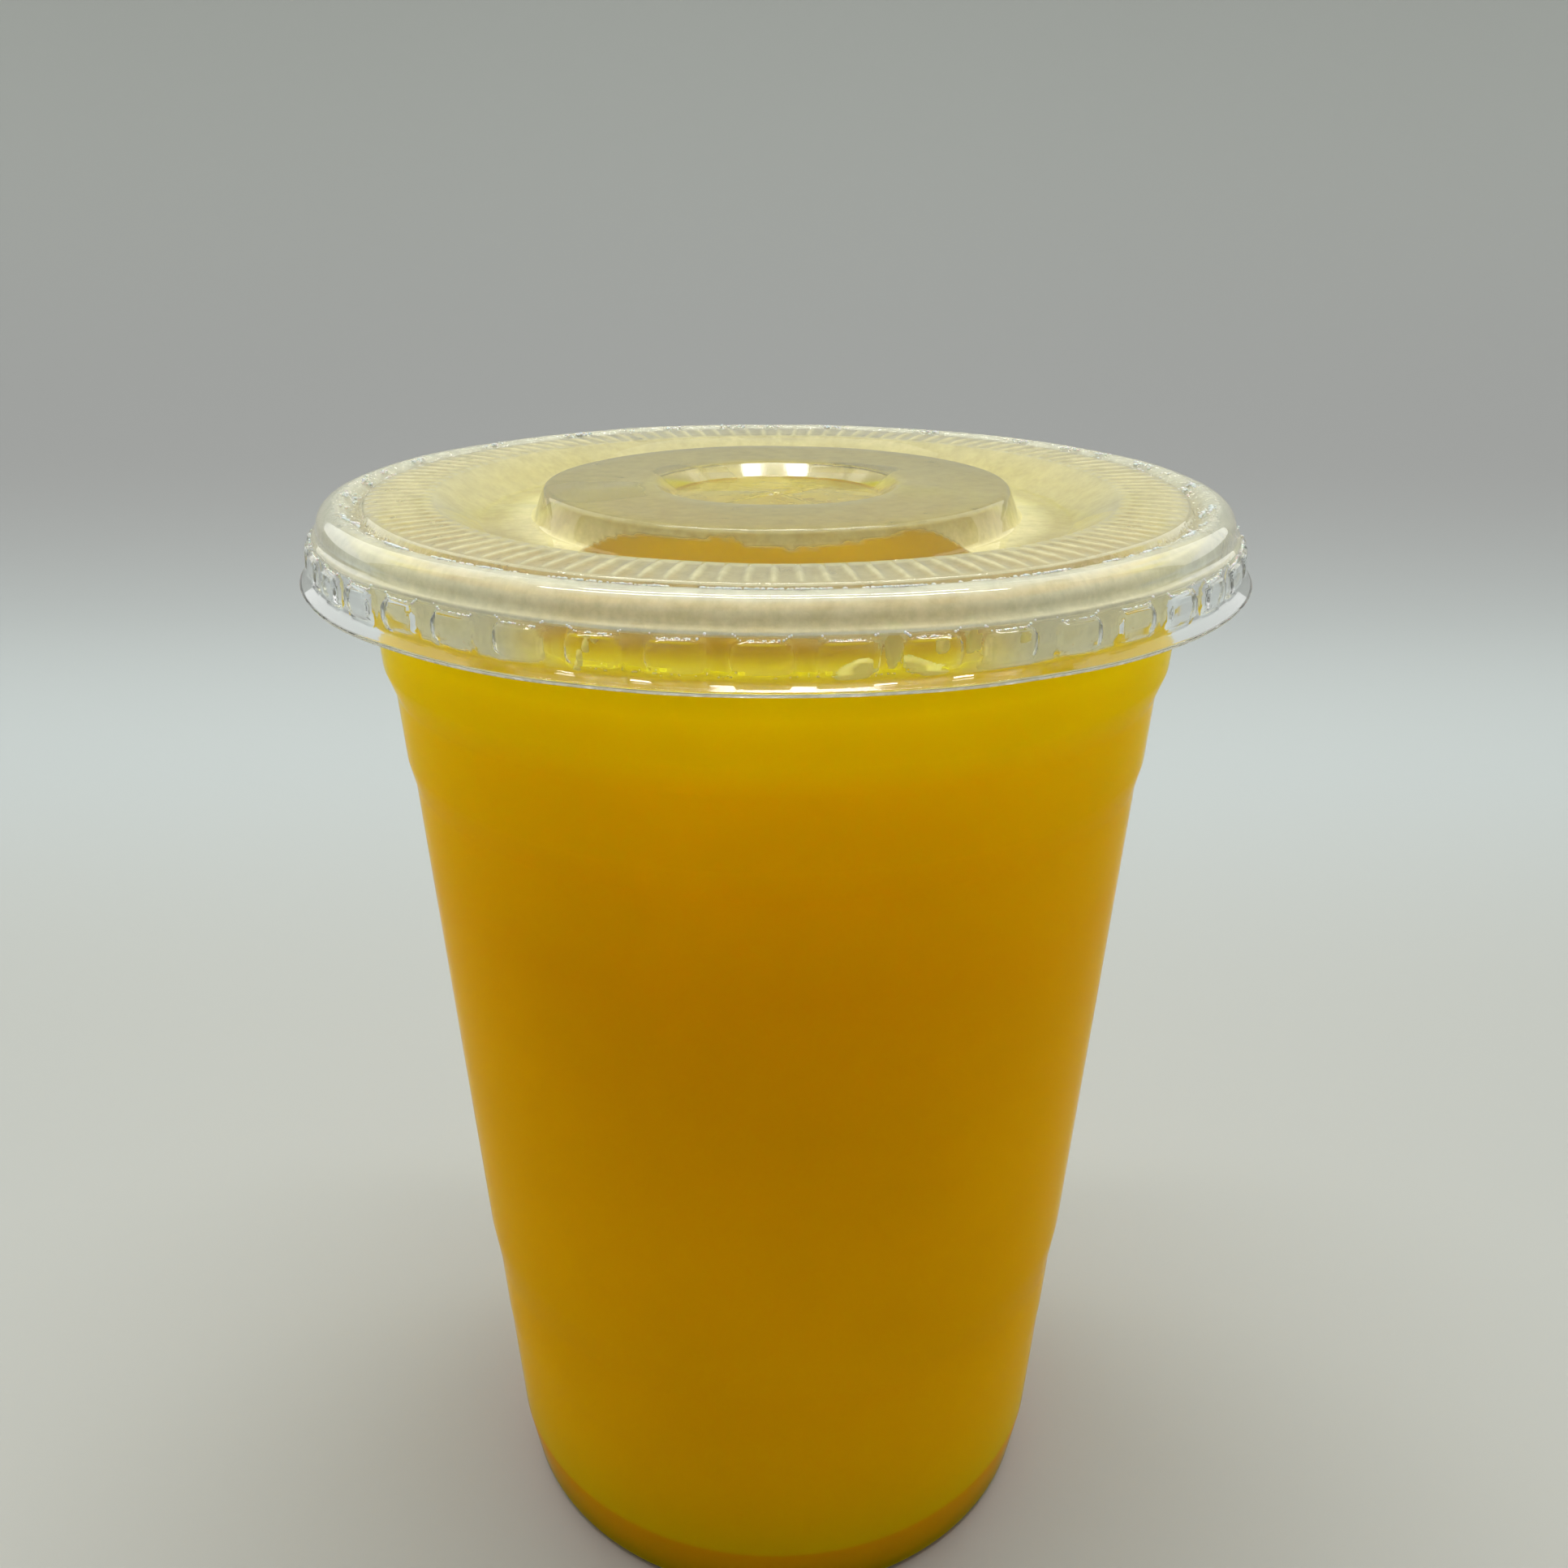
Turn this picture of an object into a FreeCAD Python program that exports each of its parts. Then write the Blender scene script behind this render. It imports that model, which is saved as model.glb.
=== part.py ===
"""A clear disposable cup of pineapple juice, shut with a clear flat press-on lid.

Millimetres, +Z up, the origin on the table at the middle of the foot.
Three pieces: the thermoformed cup with its rolled rim, the juice that fills it, and the
thermoformed lid with its radial ribs, gripping lugs and cross-cut straw dish.
"""
import FreeCAD, Part
import math
import os

from FreeCAD import Vector

# ---- Cup ---------------------------------------------------------------------------------
CUP_HEIGHT = 125.5          # table to the top of the rolled rim
CUP_WALL = 0.5              # thickness of the cup's sheet
FOOT_RADIUS = 32.7          # outside of the foot, on the table
FOOT_TOP_RADIUS = 34.06     # outside of the wall where the foot ends
FOOT_HEIGHT = 7.7           # the steeper band at the bottom of the wall
FOOT_EDGE = 1.0             # rounding of the foot's outer edge
FOOT_RING = 3.4             # width of the ring that stands on the table
FLOOR_RISE = 6.6            # underside of the raised floor above the table
FLOOR_DRAFT = 0.9           # how far the ring's inner side leans in over its height
FLOOR_CORNER = 1.6          # rounding where the ring turns into the floor
RIM_RADIUS = 47.5           # outside of the rolled rim
RIM_BEAD = 1.5              # outer radius of the roll itself
RIM_CURL_END = -115.0       # angle round the roll at which the sheet ends, 0 is outwards
NECK_DEPTH = 6.5            # rim's top down to where the wall starts to flare to the rim
NECK_INSET = 4.03           # rim's outside in to the wall at that height

# Steps where the wall widens a little: where each starts, how tall it is, how far it widens.
LOW_STEPS = [(22.0, 2.0, 0.08), (32.0, 5.5, 0.38)]      # starts measured up from the table
HIGH_STEPS = [(29.5, 3.0, 0.45), (19.0, 3.0, 0.85)]     # starts measured down from the rim's top

# ---- Juice -------------------------------------------------------------------------------
JUICE_DEPTH_BELOW_RIM = 7.5     # rim's top down to the juice
JUICE_GAP = 0.08                # clearance between the juice and the cup's sheet

# ---- Lid ---------------------------------------------------------------------------------
LID_SHEET = 0.35            # thickness of the lid's sheet
LID_FIT = 0.12              # clearance between the lid and the rolled rim
GROOVE_START = 146.0        # angle round the roll where the lid's hood over it begins
GROOVE_WIDTH = 0.6          # flat bottom of the groove just inside the hood
GROOVE_FLANK = 0.5          # how far the groove's inner side leans in
DECK_DROP = 0.1             # hood's top down to the ribbed deck
DECK_WIDTH = 7.0            # the ribbed deck, groove to moat
MOAT_SLOPE = 4.65           # width of the moat's sloping outer side
MOAT_FLOOR_WIDTH = 5.45     # width of the moat's flat floor
MOAT_DEPTH = 2.8            # deck down to the moat's floor
PLATEAU_RISE = 3.3          # moat's floor up to the plateau
PLATEAU_DRAFT = 1.3         # how far the plateau's side leans in
DISH_TOP_RADIUS = 13.1      # edge of the round dish in the plateau
DISH_FLOOR_RADIUS = 11.2    # flat floor of that dish
DISH_DEPTH = 1.5            # plateau down to the dish's floor
CUT_LENGTH = 15.0           # each of the two crossed straw cuts, end to end
CUT_WIDTH = 0.2
CUT_ANGLE = 40.0            # how far the cross is turned from the X axis
SKIRT_LEDGE = 0.6           # how far the skirt steps out below the hood
SKIRT_LEDGE_DROP = 0.45     # height of that step
SKIRT_DRAFT = 0.25          # how far the skirt widens down to its hem
HEM_DROP = 5.4              # roll's middle down to the hem's edge
HEM_LIP = 1.25              # how far the hem's lip flares out
HEM_LIP_DROP = 0.8          # height of that lip

RIB_COUNT = 120
RIB_WIDTH = 0.9
RIB_HEIGHT = 0.3
RIB_END_GAP = 0.35          # plain deck left at each end of a rib

LUG_COUNT = 45
LUG_SHARE = 0.78            # share of the pitch that a lug takes
LUG_HEIGHT = 3.1
LUG_RISE_FROM_LIP = 0.25    # plain skirt between the lip and a lug
LUG_PROUD = 0.62            # how far a lug stands out of the skirt
LUG_CORNER = 1.3            # rounding of a lug's top corners
LUG_DRAFT = 0.35            # how much smaller a lug is at its face, on each side
LUG_START_ANGLE = 1.0       # turn of the first lug from the -Y axis, clockwise from above


def place(radius, height):
    """The point at a radius and a height, in the plane that is turned round the axis."""
    return Vector(radius, 0, height)


def rounded_path(corners):
    """Edges through (radius, height, rounding) corners, with an arc at each rounded one."""
    points = [place(radius, height) for radius, height, _ in corners]
    edges = []
    here = points[0]
    for index in range(1, len(points)):
        corner = points[index]
        rounding = corners[index][2]
        if index == len(points) - 1 or rounding == 0:
            edges.append(Part.LineSegment(here, corner).toShape())
            here = corner
            continue
        arriving = (corner - points[index - 1]).normalize()
        leaving = (points[index + 1] - corner).normalize()
        half_turn = arriving.getAngle(leaving) / 2
        setback = rounding * math.tan(half_turn)
        arc_start = corner - arriving * setback
        arc_end = corner + leaving * setback
        towards_centre = (leaving - arriving).normalize()
        centre = corner + towards_centre * (rounding / math.cos(half_turn))
        edges.append(Part.LineSegment(here, arc_start).toShape())
        edges.append(Part.Arc(arc_start, centre - towards_centre * rounding, arc_end).toShape())
        here = arc_end
    return edges


def on_roll(radius, angle):
    """The point on a circle about the middle of the rolled rim; 0 degrees is outwards."""
    turn = math.radians(angle)
    return place(
        RIM_RADIUS - RIM_BEAD + radius * math.cos(turn),
        CUP_HEIGHT - RIM_BEAD + radius * math.sin(turn),
    )


def roll_arc(radius, start, end):
    """An arc about the middle of the rolled rim."""
    middle = (start + end) / 2
    return Part.Arc(on_roll(radius, start), on_roll(radius, middle), on_roll(radius, end)).toShape()


def spin(face):
    """Turn a face once round the axis into a solid."""
    return face.revolve(Vector(0, 0, 0), Vector(0, 0, 1), 360)


def sheet_face(edges, thickness):
    """The cross-section of a sheet whose outer line is given, thickened to its inner side."""
    return Part.Wire(edges).makeOffset2D(thickness, join=0, fill=True, openResult=True)


def around(shape, count, first_angle):
    """Copies of a shape that lies towards +X, evenly spaced round the axis."""
    copies = []
    for index in range(count):
        copy = shape.copy()
        copy.rotate(Vector(0, 0, 0), Vector(0, 0, 1), first_angle + index * 360.0 / count)
        copies.append(copy)
    return copies


# ---- The cup -------------------------------------------------------------------------------

def wall_steps():
    """Every step of the wall, upwards, as (height of its lower end, how tall, how much wider)."""
    high = [(CUP_HEIGHT - depth, tall, widening) for depth, tall, widening in HIGH_STEPS]
    return LOW_STEPS + high


def wall_corners():
    """The outside of the wall from the top of the foot to the neck."""
    neck_height = CUP_HEIGHT - NECK_DEPTH
    neck_radius = RIM_RADIUS - NECK_INSET
    widened = sum(widening for _, _, widening in wall_steps())
    slope = (neck_radius - FOOT_TOP_RADIUS - widened) / (neck_height - FOOT_HEIGHT)
    corners = [(FOOT_TOP_RADIUS, FOOT_HEIGHT, 0)]
    step_total = 0
    for start, tall, widening in wall_steps():
        straight = FOOT_TOP_RADIUS + slope * (start - FOOT_HEIGHT) + step_total
        step_total += widening
        corners.append((straight, start, 0))
        corners.append((straight + slope * tall + widening, start + tall, 0))
    corners.append((neck_radius, neck_height, 0))
    return corners


def foot_corners():
    """The underside, from the axis over the raised floor to the ring that stands on the table."""
    ring_inside = FOOT_RADIUS - FOOT_RING
    return [
        (0, FLOOR_RISE, 0),
        (ring_inside - FLOOR_DRAFT, FLOOR_RISE, FLOOR_CORNER),
        (ring_inside, 0, FOOT_EDGE),
        (FOOT_RADIUS, 0, FOOT_EDGE),
    ]


def make_cup():
    """One sheet: raised floor, foot ring, stepped wall and a rim that rolls outwards."""
    roll_inside = RIM_BEAD - CUP_WALL
    roll_start = on_roll(roll_inside, 180)
    outside = foot_corners() + wall_corners() + [(roll_start.x, roll_start.z, 0)]
    edges = rounded_path(outside)
    edges.append(roll_arc(roll_inside, 180, RIM_CURL_END))
    return spin(sheet_face(edges, CUP_WALL))


# ---- The juice -----------------------------------------------------------------------------

def make_juice():
    """The juice: the cup's inside up to its level, the hollow of the foot ring included."""
    outside = Part.Wire(rounded_path(foot_corners() + wall_corners()))
    inside = outside.makeOffset2D(CUP_WALL + JUICE_GAP, join=0, fill=False, openResult=True)
    ends = sorted((vertex.Point for vertex in inside.OrderedVertexes), key=lambda point: point.z)
    neck = ends[-1]
    floor = min(ends, key=lambda point: point.x)
    lid_line = Part.makePolygon([neck, place(0, neck.z), floor])
    filled = spin(Part.Face(Part.Wire(inside.Edges + lid_line.Edges)))
    level = CUP_HEIGHT - JUICE_DEPTH_BELOW_RIM
    return filled.common(Part.makeCylinder(RIM_RADIUS, level))


# ---- The lid -------------------------------------------------------------------------------

def hood_radius():
    """Outer radius of the lid's hood about the middle of the rolled rim."""
    return RIM_BEAD + LID_FIT + LID_SHEET


def deck_height():
    """Top of the ribbed deck."""
    return CUP_HEIGHT + LID_FIT + LID_SHEET - DECK_DROP


def deck_outer_radius():
    """Where the ribbed deck ends at the groove."""
    return on_roll(hood_radius(), GROOVE_START).x - GROOVE_WIDTH - GROOVE_FLANK


def skirt_corners():
    """Outside of the skirt, from the hood down to the edge of the hem."""
    hood_side = on_roll(hood_radius(), 0)
    ledge_top = hood_side.z - SKIRT_LEDGE_DROP
    ledge_radius = hood_side.x + SKIRT_LEDGE
    lip_top = hood_side.z - HEM_DROP + HEM_LIP_DROP
    lip_radius = ledge_radius + SKIRT_DRAFT
    return [
        (hood_side.x, hood_side.z, 0),
        (hood_side.x, ledge_top, 0.4),
        (ledge_radius, ledge_top - SKIRT_LEDGE_DROP, 0.4),
        (lip_radius, lip_top, 0.2),
        (lip_radius + HEM_LIP, lip_top - HEM_LIP_DROP, 0),
    ]


def top_corners():
    """Top of the lid, from the middle of the dish out to the groove inside the hood."""
    deck = deck_height()
    moat_floor = deck - MOAT_DEPTH
    plateau = moat_floor + PLATEAU_RISE
    groove = on_roll(hood_radius(), GROOVE_START)
    deck_outer = deck_outer_radius()
    deck_inner = deck_outer - DECK_WIDTH
    moat_outer = deck_inner - MOAT_SLOPE
    moat_inner = moat_outer - MOAT_FLOOR_WIDTH
    return [
        (0, plateau - DISH_DEPTH, 0),
        (DISH_FLOOR_RADIUS, plateau - DISH_DEPTH, 0.5),
        (DISH_TOP_RADIUS, plateau, 0.8),
        (moat_inner - PLATEAU_DRAFT, plateau, 0.8),
        (moat_inner, moat_floor, 0.5),
        (moat_outer, moat_floor, 0.8),
        (deck_inner, deck, 1.0),
        (deck_outer, deck, 0.5),
        (groove.x - GROOVE_WIDTH, groove.z, 0.15),
        (groove.x, groove.z, 0),
    ]


def make_lid_sheet():
    """The plain turned form of the lid, before its ribs and lugs."""
    edges = rounded_path(top_corners())
    edges.append(roll_arc(hood_radius(), GROOVE_START, 0))
    edges += rounded_path(skirt_corners())
    return spin(sheet_face(edges, -LID_SHEET))


def make_rib(lift):
    """One ridge of the deck, or with a negative lift the hollow under it."""
    base = deck_height() + lift
    outer = deck_outer_radius() - RIB_END_GAP
    inner = deck_outer_radius() - DECK_WIDTH + RIB_END_GAP
    below = RIB_HEIGHT / 3
    section = Part.makePolygon([
        Vector(inner, -RIB_WIDTH / 2, base),
        Vector(inner, 0, base + RIB_HEIGHT),
        Vector(inner, RIB_WIDTH / 2, base),
        Vector(inner, RIB_WIDTH / 2, base - below),
        Vector(inner, -RIB_WIDTH / 2, base - below),
        Vector(inner, -RIB_WIDTH / 2, base),
    ])
    return Part.Face(section).extrude(Vector(outer - inner, 0, 0))


def arch_wire(radius, half_width, low, high, corner):
    """The outline of a lug at one radius: square below, with rounded top corners."""
    def at(side, height):
        return Vector(radius, side, height)

    bevel = corner * (1 - math.sqrt(0.5))
    left_arc = Part.Arc(
        at(-half_width, high - corner),
        at(-half_width + bevel, high - bevel),
        at(-half_width + corner, high),
    )
    right_arc = Part.Arc(
        at(half_width - corner, high),
        at(half_width - bevel, high - bevel),
        at(half_width, high - corner),
    )
    return Part.Wire([
        Part.LineSegment(at(-half_width, low), at(-half_width, high - corner)).toShape(),
        left_arc.toShape(),
        Part.LineSegment(at(-half_width + corner, high), at(half_width - corner, high)).toShape(),
        right_arc.toShape(),
        Part.LineSegment(at(half_width, high - corner), at(half_width, low)).toShape(),
        Part.LineSegment(at(half_width, low), at(-half_width, low)).toShape(),
    ])


def make_lug(shrink):
    """One gripping lug of the skirt, or with a positive shrink the hollow behind it."""
    lip_radius, lip_top, _ = skirt_corners()[3]
    skirt_inside = lip_radius - SKIRT_DRAFT - LID_SHEET
    low = lip_top + LUG_RISE_FROM_LIP + shrink
    high = lip_top + LUG_RISE_FROM_LIP + LUG_HEIGHT - shrink
    half_width = math.pi * lip_radius / LUG_COUNT * LUG_SHARE - shrink
    root = arch_wire(skirt_inside - shrink, half_width, low, high, LUG_CORNER)
    face = arch_wire(
        lip_radius + LUG_PROUD - shrink,
        half_width - LUG_DRAFT,
        low + LUG_DRAFT,
        high - LUG_DRAFT,
        LUG_CORNER - LUG_DRAFT,
    )
    return Part.makeLoft([root, face], True, True)


def make_straw_cuts():
    """The two crossed cuts through the floor of the dish."""
    top = CUP_HEIGHT + PLATEAU_RISE
    cuts = []
    for quarter in (0, 90):
        cut = Part.makeBox(CUT_LENGTH, CUT_WIDTH, top, Vector(-CUT_LENGTH / 2, -CUT_WIDTH / 2, 0))
        cut.rotate(Vector(0, 0, 0), Vector(0, 0, 1), CUT_ANGLE + quarter)
        cuts.append(cut)
    return cuts


def make_lid():
    """The lid: ribs and lugs are pressed up and out of the same thin sheet."""
    lug_angle = -90 - LUG_START_ANGLE
    raised = around(make_rib(0), RIB_COUNT, -90) + around(make_lug(0), LUG_COUNT, lug_angle)
    hollows = around(make_rib(-LID_SHEET), RIB_COUNT, -90)
    hollows += around(make_lug(LID_SHEET), LUG_COUNT, lug_angle)
    pressed = make_lid_sheet().fuse(raised).cut(hollows)
    return pressed.cut(make_straw_cuts()).removeSplitter()


def write(name, shape):
    """Check that a piece is one sound solid and write it."""
    solids = shape.Solids
    if len(solids) != 1 or not solids[0].isValid():
        raise ValueError(name + ": expected one sound solid, found " + str(len(solids)))
    solids[0].exportStep("parts/" + name + ".step")
    box = solids[0].BoundBox
    print(name, "volume", round(solids[0].Volume, 1), "top", round(box.ZMax, 2), "faces",
          len(solids[0].Faces))


os.makedirs("parts", exist_ok=True)
write("cup", make_cup())
write("juice", make_juice())
write("lid", make_lid())
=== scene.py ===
"""Looks of a clear lidded cup of pineapple juice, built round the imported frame, in metres.

The cup, the juice and the lid are turned again as fine meshes from the sizes of the CAD pieces,
with small differences in the ribs, the lugs and the straw cut. Fog, bubbles, drops and the
flaps of the straw cut are added on top of them.
"""

import math

import bmesh
import bpy
import numpy as np
from mathutils import Matrix, Vector


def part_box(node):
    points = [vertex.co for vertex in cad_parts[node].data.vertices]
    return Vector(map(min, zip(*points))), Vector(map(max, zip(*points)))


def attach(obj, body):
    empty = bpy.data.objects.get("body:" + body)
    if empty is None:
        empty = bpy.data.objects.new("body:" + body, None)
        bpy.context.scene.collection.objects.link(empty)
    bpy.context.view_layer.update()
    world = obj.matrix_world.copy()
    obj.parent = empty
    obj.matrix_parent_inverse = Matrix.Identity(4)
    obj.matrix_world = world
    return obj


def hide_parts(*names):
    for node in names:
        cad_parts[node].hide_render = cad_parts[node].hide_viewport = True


MM = 0.001
SEED = 7

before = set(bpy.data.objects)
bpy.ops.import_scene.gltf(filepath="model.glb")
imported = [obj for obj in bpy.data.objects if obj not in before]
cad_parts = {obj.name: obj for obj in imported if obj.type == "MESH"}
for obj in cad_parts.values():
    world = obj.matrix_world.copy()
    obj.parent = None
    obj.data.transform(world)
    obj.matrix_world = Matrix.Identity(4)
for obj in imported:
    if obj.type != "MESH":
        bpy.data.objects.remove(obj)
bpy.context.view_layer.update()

# ---- Sizes, from the frame where it has them ---------------------------------------------
RIM_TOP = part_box("cup")[1].z
RIM_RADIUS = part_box("cup")[1].x
JUICE_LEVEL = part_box("juice")[1].z
ROLL_RADIUS = 1.5 * MM
ROLL_MIDDLE = (RIM_RADIUS - ROLL_RADIUS, RIM_TOP - ROLL_RADIUS)

WALL = 0.5 * MM
FOOT_RADIUS = 32.7 * MM
FOOT_TOP = (34.06 * MM, 7.7 * MM)
FOOT_RING = 3.4 * MM
FLOOR_RISE = 6.6 * MM
NECK = (RIM_RADIUS - 4.03 * MM, RIM_TOP - 6.5 * MM)
# Each step of the wall: height of its lower end, how tall, how much wider.
WALL_STEPS = [
    (22.0 * MM, 2.0 * MM, 0.08 * MM),
    (32.0 * MM, 5.5 * MM, 0.38 * MM),
    (RIM_TOP - 29.5 * MM, 3.0 * MM, 0.45 * MM),
    (RIM_TOP - 19.0 * MM, 3.0 * MM, 0.85 * MM),
]

SHEET = 0.35 * MM
HOOD_RADIUS = ROLL_RADIUS + 0.12 * MM + SHEET
GROOVE_START = 146.0
GROOVE_WIDTH = 0.6 * MM
GROOVE_FLANK = 0.5 * MM
DECK_HEIGHT = RIM_TOP + 0.12 * MM + SHEET - 0.1 * MM
DECK_WIDTH = 7.0 * MM
MOAT_SLOPE = 4.65 * MM
MOAT_FLOOR_WIDTH = 5.45 * MM
MOAT_FLOOR = DECK_HEIGHT - 2.8 * MM
PLATEAU = MOAT_FLOOR + 3.3 * MM
PLATEAU_DRAFT = 1.3 * MM
DISH_TOP_RADIUS = 13.1 * MM
DISH_FLOOR_RADIUS = 11.2 * MM
DISH_FLOOR = PLATEAU - 1.5 * MM

LEDGE_DROP = 0.45 * MM
SKIRT_STEP = 0.6 * MM
SKIRT_STEP_DROP = 0.45 * MM
SKIRT_DRAFT = 0.25 * MM
LIP_TOP = ROLL_MIDDLE[1] - 4.6 * MM
LIP_FLARE = 1.5 * MM
LIP_DROP = 0.8 * MM
SHEET_WAVE = 0.05 * MM
# How pebbled the two sides of the sheet are by the groove.
UPPER_PEBBLE = 0.05 * MM
LOWER_PEBBLE = 0.02 * MM

# The cuts follow columns of the ribs' mesh, so the cross is turned 39 degrees where the CAD
# piece's is turned 40, and each cut ends 0.5 mm further out.
FLAP_RADIUS = 8.0 * MM
FLAP_ROWS = (0.84, 0.68, 0.52, 0.36, 0.2, 0.08)
FLAP_GAP = 0.04 * MM
FLAP_CROSS_ANGLE = 39.0
FLAP_BENDS = (0.15 * MM, 0.5 * MM, 0.3 * MM, 0.0 * MM)

RIB_COUNT = 120
RIB_HALF_WIDTH = 0.5 * MM
RIB_HEIGHT = 0.28 * MM
RIB_END_GAP = 0.3 * MM
RIB_END_RAMP = 0.5 * MM
LUG_COUNT = 45
LUG_HALF_WIDTH = 2.72 * MM
LUG_HEIGHT = 3.1 * MM
LUG_PROUD = 0.6 * MM
LUG_CORNER = 1.3 * MM
LUG_BEND = 0.45 * MM
LUG_FIRST_ANGLE = -91.0
LUG_TOP = LIP_TOP + 0.25 * MM + LUG_HEIGHT

# How far the juice creeps up the wall, and in mm how soon that dies away inwards.
LEVEL_CREEP = 0.35 * MM
LEVEL_CREEP_REACH = 0.7

# Colours by the distance from the axis are placed by its share of this span.
AXIS_SPAN = 50 * MM

# The juice's colour by its height as a share of the level, with painted light and shade in it:
# lighter and yellower in the band below the level where light comes in from above, darker at the
# very top under the skirt, deeper lower down, and darkest and reddest in the foot. Then the
# colour of its top face, painted darker as shade in the middle and less so by the wall.
JUICE_LIGHT_AND_SHADE_TONES = [
    (0.0, (0.88, 0.27, 0.0)),
    (0.063, (0.88, 0.27, 0.0)),
    (0.067, (0.80, 0.385, 0.0)),
    (0.45, (0.82, 0.395, 0.0)),
    (0.72, (0.84, 0.40, 0.0)),
    (0.84, (0.88, 0.50, 0.0)),
    (0.92, (0.85, 0.59, 0.0)),
    (0.965, (0.74, 0.55, 0.0)),
    (0.98, (0.58, 0.43, 0.0)),
    (1.0, (0.42, 0.32, 0.0)),
]
LEVEL_PAINTED_MIDDLE = (0.23, 0.13, 0.0)
LEVEL_PAINTED_EDGE = (0.38, 0.28, 0.0)

# Fog under the lid: distance from the axis in mm, and how much it hides of what is behind it.
FOG_COVER = [
    (0, 0.55), (11, 0.55), (13, 0.6), (14, 0.72), (24.3, 0.72), (25, 0.85), (26.4, 0.6),
    (28, 0.7), (31, 0.72), (33.5, 0.8), (37, 0.85), (43, 0.85), (44.5, 0.7), (46, 0.6),
    (48.1, 0.6), (48.6, 0.3), (48.8, 0.15),
]
# The clear wet strip along the foot of the plateau's front: x in mm, share of the slope's height.
WET_STRIP = [
    (-20, -0.2), (-17.5, 0.22), (-14.5, 0.66), (-4, 0.8), (-1, 0.54), (5, 0.62), (13, 0.85),
    (15.5, 0.7), (17.5, 0.25), (20, -0.2),
]
# Wet clear patches in and by the dish: middle (x, y), half sizes, and the share of fog that stays.
WET_PATCHES = [
    ((-19, -6), (5.5, 6.0), 0.45),
    ((9.5, 7.5), (4.0, 4.0), 0.25),
    ((5.5, 11), (4.5, 2.0), 0.3),
    ((-11, 6.5), (2.6, 4.0), 0.35),
    ((-6.5, 9.5), (2.0, 2.0), 0.5),
]
# Rings, in mm from the axis, that hold the plateau's slope and the ribbed deck.
SLOPE_RING = (24.4, 28.5)
DECK_RING = (37.2, 43.6)
# The film lies just inside the sheet's lower side. Below it, over a gap of air, the film shows
# dark lines at the ribs and bends.
FOG_DEPTH = 0.03 * MM
# The share of its cover that a film keeps for light from the lamps.
FILM_SHADE = 0.35
# The fog's colour by the share of the span from the axis, with painted light and shade: a yellow
# tint for the juice's light under it, a pale band on the plateau's slope as a painted highlight, a
# dark ring in the groove as painted shade, and a pale hood painted lighter where it lies in shade.
FOG_LIGHT_AND_SHADE_TONES = [
    (0.0, (0.52, 0.44, 0.10)), (0.25, (0.54, 0.48, 0.18)), (0.29, (0.39, 0.34, 0.14)),
    (0.49, (0.39, 0.34, 0.14)), (0.52, (0.94, 0.90, 0.52)), (0.60, (0.52, 0.47, 0.21)),
    (0.68, (0.52, 0.47, 0.22)), (0.76, (0.54, 0.50, 0.30)), (0.86, (0.56, 0.52, 0.33)),
    (0.88, (0.40, 0.37, 0.24)), (0.92, (0.78, 0.77, 0.61)), (0.96, (0.98, 0.92, 0.64)),
]
HAZE_TONE = (1.0, 0.95, 0.70)

# Drops on the cup's wall above the level, each a few lumps: angle, height, half width and half
# height in degrees and mm.
WALL_DROPS = [
    [(-77.1, 121.3, 0.95, 0.9), (-77.0, 120.3, 0.7, 0.9), (-77.0, 119.3, 0.35, 0.8)],
    [(-82.0, 118.0, 1.0, 0.6), (-80.8, 118.3, 0.9, 0.7), (-80.1, 118.9, 0.8, 0.5)],
    [(-74.9, 118.8, 0.8, 0.6), (-73.8, 118.5, 0.6, 0.4), (-72.8, 118.0, 0.6, 0.5),
     (-71.6, 117.9, 0.9, 0.5)],
    [(-71.1, 120.5, 0.4, 0.5), (-71.2, 119.9, 0.55, 0.45)],
    [(-67.8, 121.4, 0.4, 0.7), (-67.8, 120.5, 0.55, 0.8), (-67.9, 119.8, 0.5, 0.5)],
    [(-60.6, 120.3, 0.3, 0.6), (-60.6, 119.8, 0.4, 0.3)],
    [(-109.0, 121.1, 0.3, 0.5), (-110.1, 120.5, 0.3, 0.5), (-111.2, 119.7, 0.28, 0.5),
     (-112.0, 118.8, 0.26, 0.5), (-112.5, 117.8, 0.25, 0.5)],
]
DROP_TONE = (0.88, 0.78, 0.28)
BUBBLE_TONE = (0.95, 0.72, 0.35)
# The beads are drops of water, but their near-white colour is a painted highlight for their
# glints.
BEAD_GLINT_TONE = (1.0, 1.0, 0.95)
BUBBLE_COUNT = 700
BEAD_COUNT = 7000
# Smallest and largest radii in mm, and where the rows of groove beads lie.
BUBBLE_RADII = (0.05, 0.12)
LUG_BEAD_RADII = (0.06, 0.14)
GROOVE_BEAD_RADII = (0.08, 0.24)
GROOVE_BEAD_ROWS = (44.5, 45.3)
GROOVE_BEAD_SPREAD = 0.16
# Where fine beads dimple the lid's gloss: share of the span from the axis, and how strongly.
WET_RING = [(0.87, 0.0), (0.88, 1.0), (0.915, 1.0), (0.925, 0.0)]

# The floor and backdrop's colour, from the front of the floor to the top of the wall, with painted
# light and shade: a little dimmer round the cup, brightest on the floor behind it, darkest where
# it starts to bend up, and a little lighter on the wall.
BACKDROP_LIGHT_AND_SHADE_TONES = [
    (0.08, (0.50, 0.50, 0.45)),
    (0.30, (0.46, 0.475, 0.44)),
    (0.43, (0.50, 0.54, 0.525)),
    (0.70, (0.345, 0.35, 0.34)),
    (1.0, (0.38, 0.395, 0.37)),
]
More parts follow.
